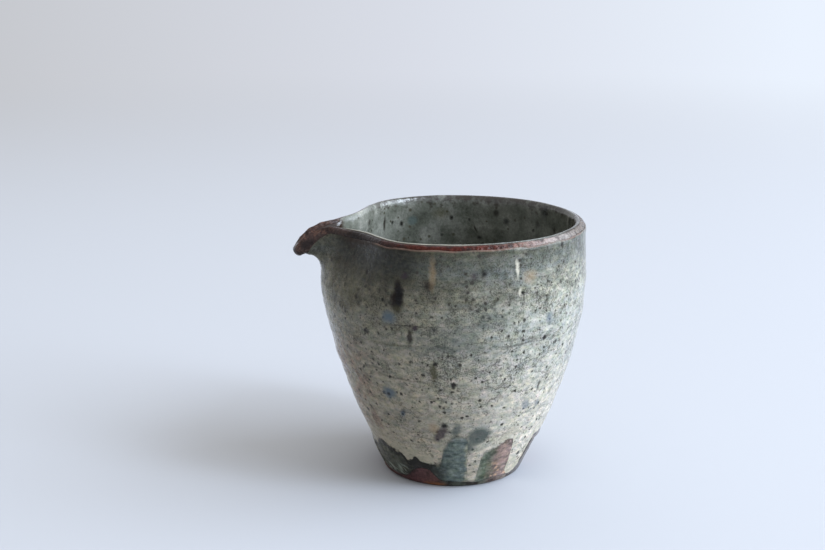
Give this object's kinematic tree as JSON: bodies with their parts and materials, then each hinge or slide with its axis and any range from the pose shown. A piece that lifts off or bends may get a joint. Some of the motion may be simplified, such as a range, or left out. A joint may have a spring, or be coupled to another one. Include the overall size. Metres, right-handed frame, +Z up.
{
  "type": "spouted bowl",
  "caption": "Small thrown stoneware bowl with a pulled pouring spout, a turned foot ring, a pale glaze coat outside with a wavy lower edge and a glaze coat inside.",
  "frame": {"origin": "on the surface that the bowl stands on, under the middle of its bounding box, so the bowl's own axis is about 5 mm towards +X", "axes": "+Z up along the bowl's axis, -X towards the spout"},
  "size_m": [0.0998, 0.0898, 0.0878],
  "materials": {
    "iron_stoneware": "fired iron-rich clay, red-brown and half glossy at the rim and above the foot",
    "outer_slip_glaze": "pale grey-green glaze over brushed white slip, speckled and streaked, satin to glossy",
    "liner_glaze": "grey-green glaze with dark iron spots, glossy"
  },
  "bodies": {
    "root": {"clay_body": "iron_stoneware", "outer_glaze": "outer_slip_glaze", "inner_glaze": "liner_glaze"}
  },
  "joints": []
}
